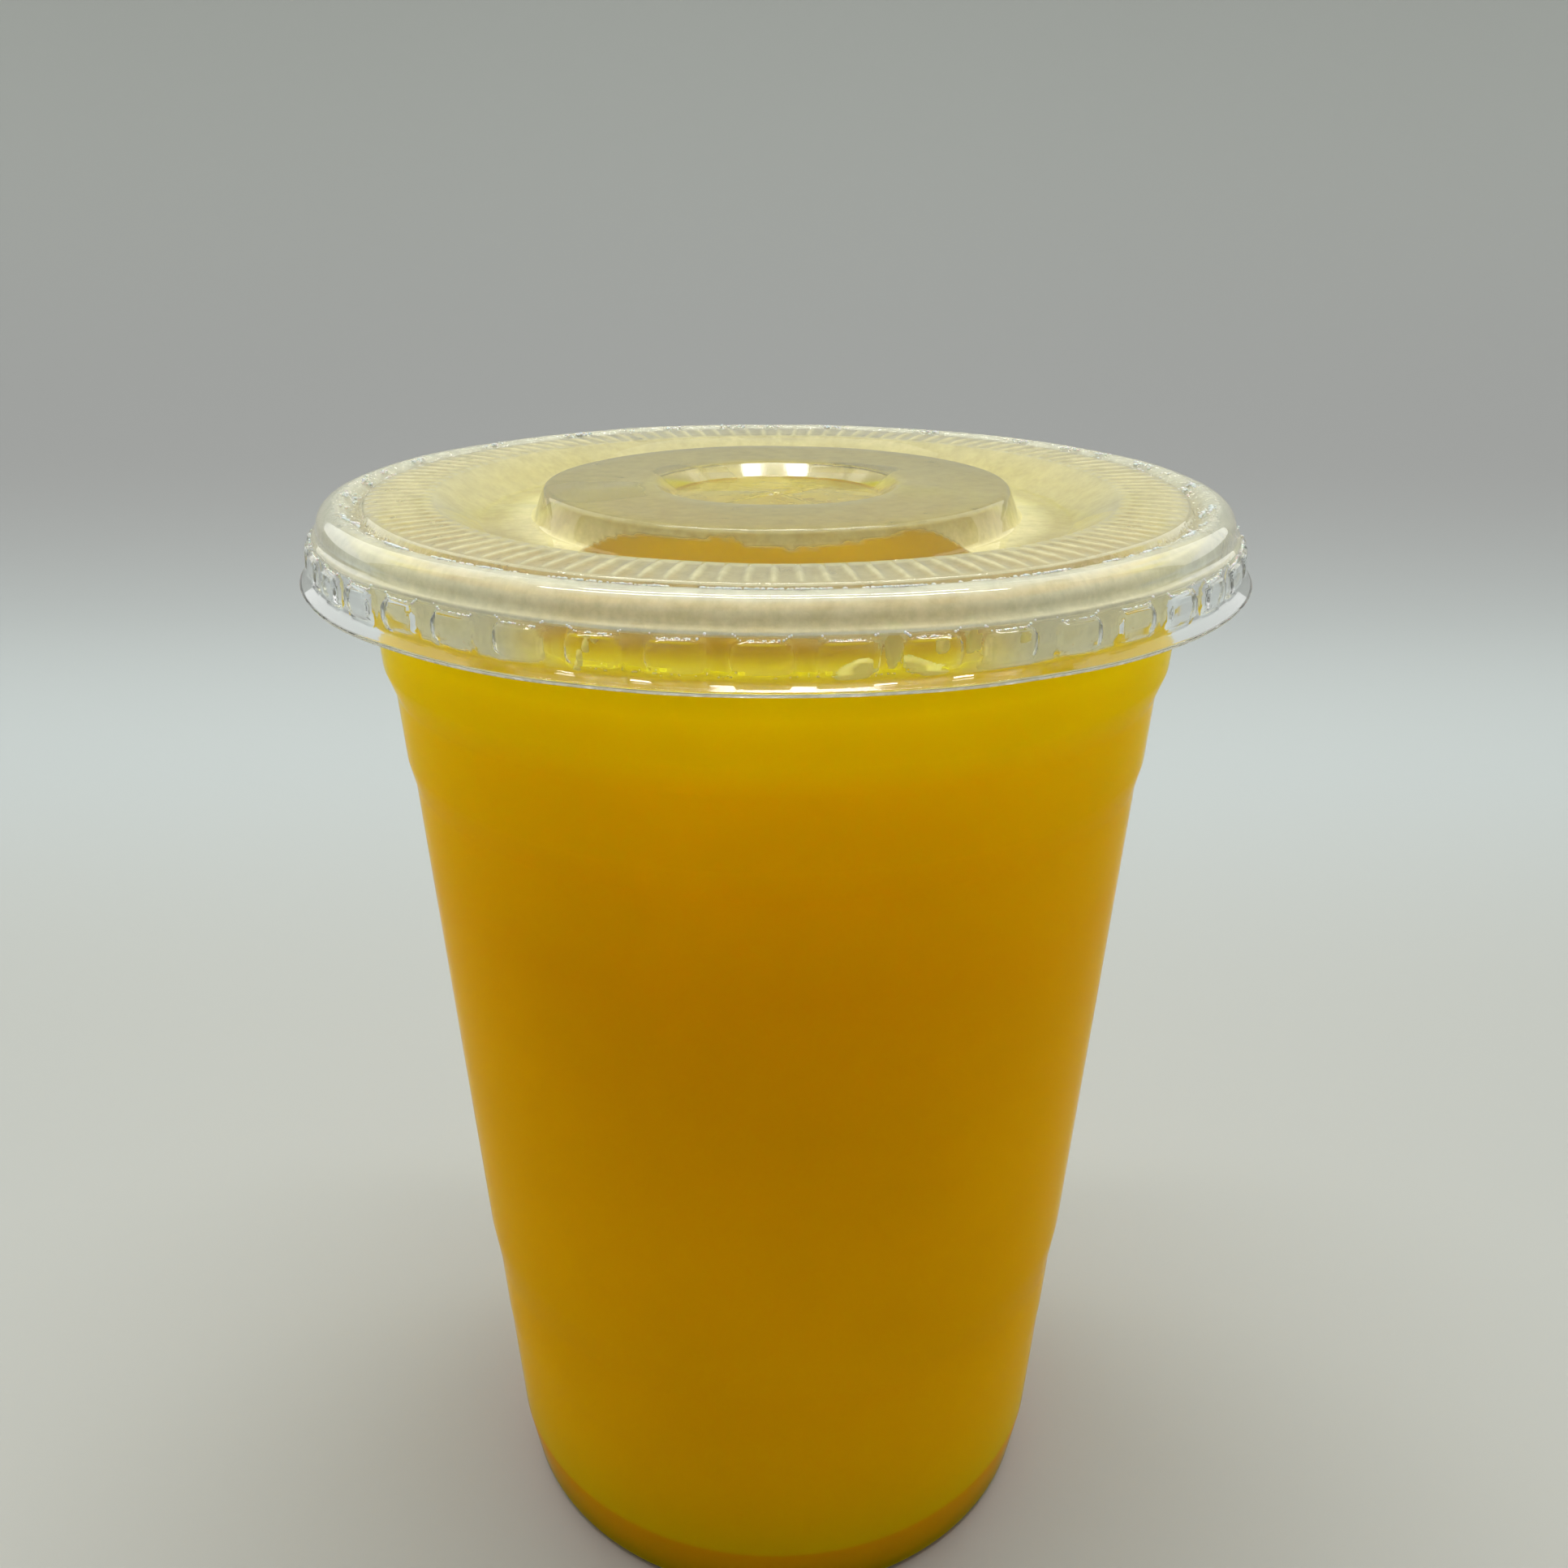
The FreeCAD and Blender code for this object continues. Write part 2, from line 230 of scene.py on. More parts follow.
# The surround's colour, from the camera's side to the back.
WORLD_TONES = [
    (0.0, (0.36, 0.365, 0.36)),
    (0.45, (0.46, 0.47, 0.47)),
    (1.0, (0.50, 0.51, 0.51)),
]
# Each lamp's place, size and power; all of them look at one point in the cup.
LAMPS = {
    "overhead": ((0, 0.10, 0.85), (0.9, 0.7), 1.2),
    "back_strip": ((0, 0.20, 0.80), (0.56, 0.04), 1.8),
    "front_strip": ((0, 0.02, 0.80), (0.9, 0.04), 2.7),
    "left_side": ((-0.6, 0.45, 0.5), (0.6, 0.7), 1.3),
    "right_side": ((0.6, 0.45, 0.5), (0.6, 0.7), 1.25),
}
LAMP_AIM = (0, 0, 0.07)

CAMERA_PLACE = (0.9 * MM, -157.35 * MM, 154.11 * MM)
CAMERA_PITCH = 0.3806
CAMERA_ROLL = 0.0043
CAMERA_LENS = 33.28


# ---- Outlines in the (radius, height) plane ------------------------------------------------

def arc_points(centre, radius, start, end, step=12.0):
    """Points on an arc, angles in degrees, ends included."""
    count = max(2, int(math.ceil(abs(end - start) / step)) + 1)
    turns = np.radians(np.linspace(start, end, count))
    return [(centre[0] + radius * math.cos(t), centre[1] + radius * math.sin(t)) for t in turns]


def rounded(corners):
    """Points of a path through (radius, height, rounding) corners."""
    points = [corners[0][:2]]
    for before, corner, after in zip(corners, corners[1:], corners[2:]):
        here = np.array(corner[:2])
        if corner[2] == 0:
            points.append(tuple(here))
            continue
        arriving = here - np.array(before[:2])
        leaving = np.array(after[:2]) - here
        arriving /= np.linalg.norm(arriving)
        leaving /= np.linalg.norm(leaving)
        turn = math.acos(np.clip(arriving @ leaving, -1, 1))
        setback = corner[2] * math.tan(turn / 2)
        steps = max(2, int(math.degrees(turn) / 14))
        for share in np.linspace(0, 1, steps + 1):
            # A quadratic curve is near enough to the arc at these sizes.
            low = here - arriving * setback
            high = here + leaving * setback
            mixed = (1 - share) ** 2 * low + 2 * share * (1 - share) * here + share ** 2 * high
            points.append(tuple(mixed))
    points.append(corners[-1][:2])
    return points


def subdivided(points, longest):
    """The same path with no stretch longer than that."""
    dense = [points[0]]
    for start, end in zip(points, points[1:]):
        length = math.dist(start, end)
        if length < 1e-7:
            continue
        count = max(1, int(math.ceil(length / longest)))
        for k in range(1, count + 1):
            share = k / count
            dense.append((start[0] + (end[0] - start[0]) * share,
                          start[1] + (end[1] - start[1]) * share))
    return dense


def offset_path(points, distance):
    """The path moved sideways, to its left where the distance is positive."""
    path = np.array(points)
    along = np.gradient(path, axis=0)
    along /= np.linalg.norm(along, axis=1)[:, None]
    return path + distance * np.stack([-along[:, 1], along[:, 0]], 1)


def wall_corners(inset=0.0):
    """The outside of the cup's wall from the foot's top to the neck, moved inwards by inset."""
    widened = sum(step[2] for step in WALL_STEPS)
    slope = (NECK[0] - FOOT_TOP[0] - widened) / (NECK[1] - FOOT_TOP[1])
    corners = [(FOOT_TOP[0] - inset, FOOT_TOP[1], 0.8 * MM)]
    total = 0.0
    for start, tall, wider in WALL_STEPS:
        straight = FOOT_TOP[0] + slope * (start - FOOT_TOP[1]) + total - inset
        total += wider
        corners.append((straight, start, 1.5 * MM))
        corners.append((straight + slope * tall + wider, start + tall, 1.5 * MM))
    return corners


def foot_corners(inset=0.0):
    """The underside from the axis to the foot's outer edge, moved into the sheet by inset."""
    ring_inside = FOOT_RADIUS - FOOT_RING
    return [
        (0, FLOOR_RISE + inset, 0),
        (ring_inside - 0.9 * MM + inset, FLOOR_RISE + inset, 1.6 * MM),
        (ring_inside + inset, inset, 1.0 * MM),
        (FOOT_RADIUS - inset, inset, 1.0 * MM),
    ]


def roll_point(radius, angle):
    """A point on a circle about the middle of the rolled rim."""
    turn = math.radians(angle)
    return (ROLL_MIDDLE[0] + radius * math.cos(turn), ROLL_MIDDLE[1] + radius * math.sin(turn))


# ---- Meshes --------------------------------------------------------------------------------

def link_mesh(name, vertices, faces):
    """A new mesh object, shaded smooth, from vertices and faces."""
    mesh = bpy.data.meshes.new(name)
    mesh.from_pydata([tuple(v) for v in vertices], [], faces)
    mesh.validate()
    mesh.polygons.foreach_set("use_smooth", np.ones(len(mesh.polygons), bool))
    mesh.update()
    piece = bpy.data.objects.new(name, mesh)
    bpy.context.scene.collection.objects.link(piece)
    return piece


def ring_faces(ring_count, columns):
    """The faces between rings round the axis that follow one another."""
    faces = []
    for i in range(ring_count - 1):
        row, above = i * columns, (i + 1) * columns
        for j in range(columns):
            k = (j + 1) % columns
            faces.append((row + j, row + k, above + k, above + j))
    return faces


def grid_faces(rows, width, base):
    """The faces of an open grid of points whose numbers start at base."""
    corners = [base + row * width + column for row in range(rows - 1)
               for column in range(width - 1)]
    return [(a, a + 1, a + width + 1, a + width) for a in corners]


def add_shape(mesh_data, points, own_faces):
    """Add a small shape to the vertices and faces of a mesh that is being gathered."""
    vertices, faces = mesh_data
    base = len(vertices)
    vertices.extend(np.asarray(points).tolist())
    faces.extend(tuple(base + k for k in face) for face in own_faces)


def skin(name, rings, poles):
    """A mesh through rings of points round the axis; poles shut both ends with one point each."""
    ring_count, columns, _ = rings.shape
    vertices = rings.reshape(-1, 3).tolist()
    faces = ring_faces(ring_count, columns)
    for ring_index, flip in ((0, True), (ring_count - 1, False)) if poles else ():
        pole = len(vertices)
        vertices.append(rings[ring_index].mean(0).tolist())
        base = ring_index * columns
        for j in range(columns):
            k = (j + 1) % columns
            a, b = (base + k, base + j) if flip else (base + j, base + k)
            faces.append((a, b, pole))
    return link_mesh(name, vertices, faces)


def turned_rings(path, columns):
    """The rings that a path makes when it turns round the axis."""
    angles = np.linspace(0, 2 * math.pi, columns, endpoint=False)
    path = np.array(path)
    rings = np.empty((len(path), columns, 3))
    rings[:, :, 0] = path[:, :1] * np.cos(angles)
    rings[:, :, 1] = path[:, :1] * np.sin(angles)
    rings[:, :, 2] = path[:, 1:]
    return rings


def off_axis(points, smallest=0.3 * MM):
    """A path without its points on the axis, which a pole stands for."""
    return [p for p in points if p[0] > smallest]


def smooth_step(value):
    """0 below 0, 1 above 1, and an even S between."""
    value = np.clip(value, 0, 1)
    return value * value * (3 - 2 * value)


def ripple(x, y, z, wavelength, seed, waves=14):
    """Smooth seeded unevenness between about -1 and 1."""
    rng = np.random.default_rng(seed)
    total = np.zeros_like(x)
    for _ in range(waves):
        direction = rng.normal(size=3)
        direction *= 2 * math.pi / (np.linalg.norm(direction) * wavelength * rng.uniform(0.6, 1.7))
        total += np.sin(direction[0] * x + direction[1] * y + direction[2] * z
                        + rng.uniform(0, 6.3))
    return total / math.sqrt(waves) / 1.4


# ---- Materials -----------------------------------------------------------------------------

def new_material(name):
    """An empty node material: its tree and output."""
    material = bpy.data.materials.new(name)
    material.use_nodes = True
    tree = material.node_tree
    tree.nodes.clear()
    output = tree.nodes.new("ShaderNodeOutputMaterial")
    return material, tree, output


def add_node(tree, kind, **sockets):
    """A node with its input sockets set by name, words joined with underscores."""
    node = tree.nodes.new(kind)
    for name, value in sockets.items():
        node.inputs[name.replace("_", " ")].default_value = value
    return node


def object_noise(tree, scale, detail=4.0, roughness=0.55):
    """A noise texture in the object's own metres."""
    place = tree.nodes.new("ShaderNodeTexCoord")
    noise = add_node(tree, "ShaderNodeTexNoise", Scale=scale, Detail=detail, Roughness=roughness)
    tree.links.new(place.outputs["Object"], noise.inputs["Vector"])
    return noise


def colour_ramp(tree, source, stops, easing="EASE"):
    """A colour ramp fed by a socket; stops are (place, colour)."""
    ramp = tree.nodes.new("ShaderNodeValToRGB")
    ramp.color_ramp.interpolation = easing
    elements = ramp.color_ramp.elements
    while len(elements) < len(stops):
        elements.new(0.5)
    for element, (place, colour) in zip(elements, stops):
        element.position = place
        element.color = (*colour, 1.0)
    tree.links.new(source, ramp.inputs["Fac"])
    return ramp


def add_bump(tree, shader, source, strength, distance):
    """Relief from a socket on a shader."""
    bump = add_node(tree, "ShaderNodeBump", Strength=strength, Distance=distance)
    tree.links.new(source, bump.inputs["Height"])
    tree.links.new(bump.outputs["Normal"], shader.inputs["Normal"])


def place_share(tree, axis, low, high):
    """Where a point lies between two places along an axis of the object, from 0 to 1."""
    place = tree.nodes.new("ShaderNodeTexCoord")
    split = tree.nodes.new("ShaderNodeSeparateXYZ")
    tree.links.new(place.outputs["Object"], split.inputs[0])
    span = add_node(tree, "ShaderNodeMapRange", From_Min=low, From_Max=high)
    tree.links.new(split.outputs[axis], span.inputs["Value"])
    return span.outputs[0]


def axis_share(tree):
    """The distance from the axis as a share of the span."""
    place = tree.nodes.new("ShaderNodeTexCoord")
    flat = add_node(tree, "ShaderNodeMapping", Scale=(1, 1, 0))
    reach = tree.nodes.new("ShaderNodeVectorMath")
    reach.operation = "LENGTH"
    tree.links.new(place.outputs["Object"], flat.inputs["Vector"])
    tree.links.new(flat.outputs["Vector"], reach.inputs[0])
    span = add_node(tree, "ShaderNodeMapRange", From_Min=0.0, From_Max=AXIS_SPAN)
    tree.links.new(reach.outputs["Value"], span.inputs["Value"])
    return span.outputs[0]


def multiplied(tree, first, second):
    """The product of two colours, as a colour socket."""
    product = tree.nodes.new("ShaderNodeVectorMath")
    product.operation = "MULTIPLY"
    tree.links.new(first, product.inputs[0])
    tree.links.new(second, product.inputs[1])
    return product.outputs[0]


def clear_plastic(name, tint, shade, ior, specular, rough_low, rough_high, haze_scale, relief,
                  wet_ring=None):
    """Clear sheet that lets the lamps through, with a faint uneven haze in its gloss.

    Where the wet ring's stops (share of the span from the axis, strength) are not 0, fine beads
    of water dimple the gloss.
    """
    material, tree, output = new_material(name)
    shader = add_node(
        tree, "ShaderNodeBsdfPrincipled",
        Base_Color=(*tint, 1), Transmission_Weight=1.0, IOR=ior, Specular_IOR_Level=specular,
    )
    haze = object_noise(tree, haze_scale)
    rough = colour_ramp(tree, haze.outputs["Fac"],
                        [(0.35, (rough_low,) * 3), (0.7, (rough_high,) * 3)])
    tree.links.new(rough.outputs["Color"], shader.inputs["Roughness"])
    waves = object_noise(tree, haze_scale * 0.4, detail=2.0)
    add_bump(tree, shader, waves.outputs["Fac"], relief, 0.2 * MM)
    if wet_ring:
        beads = object_noise(tree, 1300.0, detail=1.0)
        stops = [(at, (strength,) * 3) for at, strength in wet_ring]
        mask = colour_ramp(tree, axis_share(tree), stops, "LINEAR")
        dimple = add_node(tree, "ShaderNodeBump", Distance=0.9 * MM)
        tree.links.new(mask.outputs["Color"], dimple.inputs["Strength"])
        tree.links.new(beads.outputs["Fac"], dimple.inputs["Height"])
        tree.links.new(shader.inputs["Normal"].links[0].from_socket, dimple.inputs["Normal"])
        tree.links.new(dimple.outputs["Normal"], shader.inputs["Normal"])
    pass_light = add_node(tree, "ShaderNodeBsdfTransparent", Color=(*shade, 1))
    rays = tree.nodes.new("ShaderNodeLightPath")
    mix = tree.nodes.new("ShaderNodeMixShader")
    tree.links.new(rays.outputs["Is Shadow Ray"], mix.inputs[0])
    tree.links.new(shader.outputs[0], mix.inputs[1])
    tree.links.new(pass_light.outputs[0], mix.inputs[2])
    tree.links.new(mix.outputs[0], output.inputs["Surface"])
    return material


def juice_material():
    """Cloudy juice, yellower near the level and deeper lower down as painted light and shade;
    light sinks in, least the blue.
    """
    material, tree, output = new_material("pineapple_juice")
    shader = add_node(
        tree, "ShaderNodeBsdfPrincipled",
        Roughness=0.5, IOR=1.36, Specular_IOR_Level=0.02,
        Subsurface_Weight=1.0, Subsurface_Radius=(1.0, 0.8, 0.1), Subsurface_Scale=0.03,
    )
    # Painted light and shade: the colour changes with height as the light through the juice does.
    depth = colour_ramp(tree, place_share(tree, "Z", 0.0, JUICE_LEVEL), JUICE_LIGHT_AND_SHADE_TONES, "LINEAR")
    cloud = object_noise(tree, 38.0, detail=5.0)
    uneven = colour_ramp(tree, cloud.outputs["Fac"], [(0.3, (0.95, 0.94, 1.0)), (0.7, (1, 1, 1))])
    tone = multiplied(tree, depth.outputs["Color"], uneven.outputs["Color"])
    facing = tree.nodes.new("ShaderNodeNewGeometry")
    split = tree.nodes.new("ShaderNodeSeparateXYZ")
    tree.links.new(facing.outputs["Normal"], split.inputs[0])
    # The top face, found by its upward normal, is painted darker as shade, less so by the wall.
    upward = colour_ramp(tree, split.outputs["Z"], [(0.3, (0, 0, 0)), (0.9, (1, 1, 1))])
    level = colour_ramp(tree, axis_share(tree), [(0.7, LEVEL_PAINTED_MIDDLE), (0.84, LEVEL_PAINTED_EDGE)])
    mix = tree.nodes.new("ShaderNodeMix")
    mix.data_type = "RGBA"
    tree.links.new(upward.outputs["Color"], mix.inputs[0])
    tree.links.new(tone, mix.inputs[6])
    tree.links.new(level.outputs["Color"], mix.inputs[7])
    tree.links.new(mix.outputs[2], shader.inputs["Base Color"])
    pulp = object_noise(tree, 900.0, detail=2.0)
    add_bump(tree, shader, pulp.outputs["Fac"], 0.15, 0.1 * MM)
    tree.links.new(shader.outputs[0], output.inputs["Surface"])
    return material


def film_material(name, tones, scale, patchy):
    """Fog or froth: a thin whitish film as dense as its cover attribute, in fine patches."""
    material, tree, output = new_material(name)
    shader = add_node(tree, "ShaderNodeBsdfPrincipled", Roughness=0.7, Specular_IOR_Level=0.15)
    tone = colour_ramp(tree, axis_share(tree), tones, "LINEAR")
    grain = object_noise(tree, scale * 3, detail=3.0)
    fine = colour_ramp(tree, grain.outputs["Fac"], [(0.3, (0.9,) * 3), (0.7, (1.0,) * 3)])
    tree.links.new(multiplied(tree, tone.outputs["Color"], fine.outputs["Color"]),
                   shader.inputs["Base Color"])
    cover = tree.nodes.new("ShaderNodeAttribute")
    cover.attribute_name = "cover"
    patches = object_noise(tree, scale, detail=6.0, roughness=0.65)
    share = colour_ramp(tree, patches.outputs["Fac"],
                        [(0.3, (1 - patchy,) * 3), (0.65, (1.0,) * 3)])
    product = tree.nodes.new("ShaderNodeMath")
    product.operation = "MULTIPLY"
    tree.links.new(cover.outputs["Fac"], product.inputs[0])
    tree.links.new(share.outputs["Color"], product.inputs[1])
    # A film of fine drops scatters most light onwards, so it dims lamps less than it hides.
    rays = tree.nodes.new("ShaderNodeLightPath")
    lit = add_node(tree, "ShaderNodeMapRange", To_Min=1.0, To_Max=FILM_SHADE)
    tree.links.new(rays.outputs["Is Shadow Ray"], lit.inputs["Value"])
    hidden = tree.nodes.new("ShaderNodeMath")
    hidden.operation = "MULTIPLY"
    tree.links.new(product.outputs[0], hidden.inputs[0])
    tree.links.new(lit.outputs[0], hidden.inputs[1])
    tree.links.new(hidden.outputs[0], shader.inputs["Alpha"])
    add_bump(tree, shader, grain.outputs["Fac"], 0.3, 0.1 * MM)
    tree.links.new(shader.outputs[0], output.inputs["Surface"])
    return material


def cut_edge_material():
    """The lid's cut edge, painted pale as a highlight for the light that it gathers."""
    material, tree, output = new_material("cut_edge")
    shader = add_node(tree, "ShaderNodeBsdfPrincipled", Specular_IOR_Level=0.5, Alpha=0.8)
    uneven = object_noise(tree, 900.0, detail=2.0)
    tone = colour_ramp(tree, uneven.outputs["Fac"],
                       [(0.35, (0.9, 0.88, 0.7)), (0.6, (1.0, 0.98, 0.85))])
    rough = colour_ramp(tree, uneven.outputs["Fac"], [(0.3, (0.15,) * 3), (0.7, (0.4,) * 3)])
    tree.links.new(tone.outputs["Color"], shader.inputs["Base Color"])
    tree.links.new(rough.outputs["Color"], shader.inputs["Roughness"])
    tree.links.new(shader.outputs[0], output.inputs["Surface"])
    return material


def drop_material(name, colour, alpha):
    """A small drop, bubble or bead: glossy, and partly see-through."""
    material, tree, output = new_material(name)
    shader = add_node(
        tree, "ShaderNodeBsdfPrincipled",
        Roughness=0.12, IOR=1.34, Alpha=alpha, Subsurface_Weight=0.3, Subsurface_Scale=0.001,
    )
    tone = object_noise(tree, 400.0)
    dim = tuple(c * 0.85 for c in colour)
    ramp = colour_ramp(tree, tone.outputs["Fac"], [(0.3, dim), (0.7, colour)])
    tree.links.new(ramp.outputs["Color"], shader.inputs["Base Color"])
    tree.links.new(shader.outputs[0], output.inputs["Surface"])
    return material


# ---- Finishing -----------------------------------------------------------------------------

def finish_piece(piece, slot, material, *replaced):
    """Give a piece its material and its body, and hide the CAD nodes it stands for; its slot is
    not used.
    """
    piece.data.materials.clear()
    piece.data.materials.append(material)
    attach(piece, "root")
    if replaced:
        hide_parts(*replaced)


# ---- The cup and the juice -----------------------------------------------------------------

def make_cup(material):
    """The cup's sheet, from the raised floor round the foot, up the wall and into the roll."""
    roll_inside = ROLL_RADIUS - WALL
    start = roll_point(roll_inside, 180)
    corners = foot_corners() + wall_corners() + [(*NECK, 1.5 * MM), (*start, 0)]
    outside = subdivided(rounded(corners), 3 * MM)
    outside += arc_points(ROLL_MIDDLE, roll_inside, 180, -115)[1:]
    inside = offset_path(outside, WALL)
    inside[0] = (0, outside[0][1] + WALL)
    outline = off_axis(outside) + off_axis([tuple(p) for p in inside[::-1]])
    cup = skin("cup_wall", turned_rings(outline, 288), True)
    finish_piece(cup, "cup_plastic", material, "cup")


def wall_radius_at(height):
    """Outer radius of the cup at a height between the foot's top and the neck."""
    corners = wall_corners() + [(*NECK, 0)]
    return float(np.interp(height, [c[1] for c in corners], [c[0] for c in corners]))


def make_juice(material):
    """The juice, reaching half way into the wall, with a level that creeps up its edge."""
    sink = WALL * 0.5
    corners = foot_corners(sink) + wall_corners(sink)
    edge = wall_radius_at(JUICE_LEVEL) - sink
    side = subdivided(rounded(corners + [(edge, JUICE_LEVEL + LEVEL_CREEP, 0)]), 2.5 * MM)
    surface = []
    for inward in (0.15, 0.4, 0.8, 1.4, 2.4, 5, 10, 16, 22, 28, 34, 39):
        rise = LEVEL_CREEP * math.exp(-inward / LEVEL_CREEP_REACH)
        surface.append((edge - inward * MM, JUICE_LEVEL + rise))
    juice = skin("juice_body", turned_rings(off_axis(side) + surface, 240), True)
    finish_piece(juice, "juice", material, "juice")


# ---- The lid -------------------------------------------------------------------------------

def deck_outer_radius():
    """Where the ribbed deck ends at the groove."""
    return roll_point(HOOD_RADIUS, GROOVE_START)[0] - GROOVE_WIDTH - GROOVE_FLANK


def lid_top_path():
    """The lid's upper side from the axis to the edge of the hem, as dense points."""
    groove = roll_point(HOOD_RADIUS, GROOVE_START)
    deck_outer = deck_outer_radius()
    deck_inner = deck_outer - DECK_WIDTH
    moat_outer = deck_inner - MOAT_SLOPE
    moat_inner = moat_outer - MOAT_FLOOR_WIDTH
    top = rounded([
        (0, DISH_FLOOR, 0),
        (DISH_FLOOR_RADIUS, DISH_FLOOR, 0.7 * MM),
        (DISH_TOP_RADIUS, PLATEAU, 0.8 * MM),
        (moat_inner - PLATEAU_DRAFT, PLATEAU, 0.8 * MM),
        (moat_inner, MOAT_FLOOR, 0.7 * MM),
        (moat_outer, MOAT_FLOOR, 0.8 * MM),
        (deck_inner, DECK_HEIGHT, 1.0 * MM),
        (deck_outer, DECK_HEIGHT, 0.5 * MM),
        (groove[0] - GROOVE_WIDTH, groove[1], 0.2 * MM),
        (*groove, 0),
    ])
    hood = arc_points(ROLL_MIDDLE, HOOD_RADIUS, GROOVE_START, 0, 13.0)
    side = roll_point(HOOD_RADIUS, 0)
    ledge = side[1] - LEDGE_DROP
    skirt_radius = side[0] + SKIRT_STEP
    skirt = rounded([
        (*side, 0),
        (side[0], ledge, 0.4 * MM),
        (skirt_radius, ledge - SKIRT_STEP_DROP, 0.45 * MM),
        (skirt_radius + SKIRT_DRAFT, LIP_TOP, 0.3 * MM),
        (skirt_radius + LIP_FLARE, LIP_TOP - LIP_DROP, 0),
    ])
    # Every ring stays where the tops of the lugs bend, and every third one elsewhere.
    fine = subdivided(skirt, 0.16 * MM)
    kept = [p for k, p in enumerate(fine) if abs(p[1] - LUG_TOP) < LUG_BEND or k % 3 == 0]
    if kept[-1] != fine[-1]:
        kept.append(fine[-1])
    return subdivided(top, 2.4 * MM) + subdivided(hood, 1.0 * MM)[1:] + kept[1:]


def column_angles():
    """Two sets of columns round the lid: one that follows the ribs, one that follows the lugs."""
    rib_pitch = 360.0 / RIB_COUNT
    rib_places = np.array([-0.214, -0.107, 0, 0.107, 0.214, 0.5]) * rib_pitch
    ribs = np.concatenate([-90 + k * rib_pitch + rib_places for k in range(RIB_COUNT)])
    lug_pitch = 360.0 / LUG_COUNT
    half = np.array([0.09, 0.18, 0.27, 0.325, 0.355, 0.385, 0.43])
    lug_places = np.concatenate([-half[::-1], [0], half, [0.5]]) * lug_pitch
    lugs = np.concatenate([LUG_FIRST_ANGLE - k * lug_pitch + lug_places for k in range(LUG_COUNT)])
    ribs = np.sort(np.mod(ribs, 360))
    lugs = np.sort(np.mod(lugs, 360))
    return np.radians(ribs), np.radians(lugs)


def nearest_gap(angle, first, count):
    """Signed angle from the nearest of count evenly spaced places, in radians."""
    pitch = 2 * math.pi / count
    return (angle - math.radians(first) + pitch / 2) % pitch - pitch / 2


def rib_lift(radius, angle):
    """Height of the ribs at a place on the deck."""
    across = nearest_gap(angle, -90, RIB_COUNT) * radius
    ridge = np.cos(np.clip(across / RIB_HALF_WIDTH, -1, 1) * math.pi / 2) ** 2
    outer = deck_outer_radius() - RIB_END_GAP
    inner = deck_outer_radius() - DECK_WIDTH + RIB_END_GAP
    starts = smooth_step((radius - inner) / RIB_END_RAMP)
    ends = smooth_step((outer - radius) / RIB_END_RAMP)
    return RIB_HEIGHT * ridge * starts * ends


def lug_push(radius, height, angle):
    """How far the skirt is pushed out at a place: a row of rounded panels."""
    middle = LUG_TOP - LUG_HEIGHT / 2
    across = np.abs(nearest_gap(angle, LUG_FIRST_ANGLE, LUG_COUNT) * radius)
    corner_x = across - (LUG_HALF_WIDTH - LUG_CORNER)
    corner_y = np.abs(height - middle) - (LUG_HEIGHT / 2 - LUG_CORNER)
    outside = np.hypot(np.maximum(corner_x, 0), np.maximum(corner_y, 0))
    inside = np.minimum(np.maximum(corner_x, corner_y), 0)
    depth = LUG_CORNER - outside - inside
    return LUG_PROUD * smooth_step(depth / LUG_BEND)


def pressed_rings(path, line, pebble=0.0):
    """Rings along a line beside the lid's path, with the ribs and lugs pressed into them."""
    rib_angles, lug_angles = column_angles()
    hood_start = roll_point(HOOD_RADIUS, GROOVE_START)[0]
    hood_end = roll_point(HOOD_RADIUS, 0)[0]
    share = smooth_step((path[:, 0] - hood_start) / (hood_end - hood_start))[:, None]
    angles = rib_angles[None, :] * (1 - share) + lug_angles[None, :] * share
    radius = np.broadcast_to(path[:, :1], angles.shape)
    height = np.broadcast_to(path[:, 1:], angles.shape)
    skirt_start = ROLL_MIDDLE[0] + 1.9 * MM
    push = lug_push(radius, height, angles) * (radius > skirt_start)
    r = line[:, :1] + push
    x, y = r * np.cos(angles), r * np.sin(angles)
    z = line[:, 1:] + rib_lift(radius, angles)
    z = z + ripple(x, y, z, 16 * MM, SEED) * SHEET_WAVE
    if pebble:
        # Fine beads of water make the sheet by the groove look pebbled.
        beads = np.exp(-((radius - hood_start) / (0.7 * MM)) ** 2)
        z = z + np.random.default_rng(SEED).normal(size=z.shape) * pebble * beads
    return np.stack([x, y, z], 2)


def lid_path():
    """The lid's upper side from the edge of the straw cut's flaps outwards."""
    path = np.array(lid_top_path())
    path = path[path[:, 0] > FLAP_RADIUS]
    return np.concatenate([[(FLAP_RADIUS, DISH_FLOOR)], path])


def flap_grid(edge, bend, columns):
    """One flap of the straw cut as rows of points, from its root ring inwards to its tip."""
    rows = [edge[columns]]
    root = edge[columns]
    first, last = root[0, :2], root[-1, :2]
    for share in FLAP_ROWS:
        row = root.copy()
        row[:, :2] *= share
        row[:, 2] += bend * (1 - share) ** 1.5
        # The two cut edges draw back from the slit, more so away from the flap's root.
        for column, other in ((0, last), (-1, first)):
            away = other / np.linalg.norm(other)
            row[column, :2] += away * FLAP_GAP * min(1.0, 4 * (1 - share))
        rows.append(row)
    return np.array(rows)


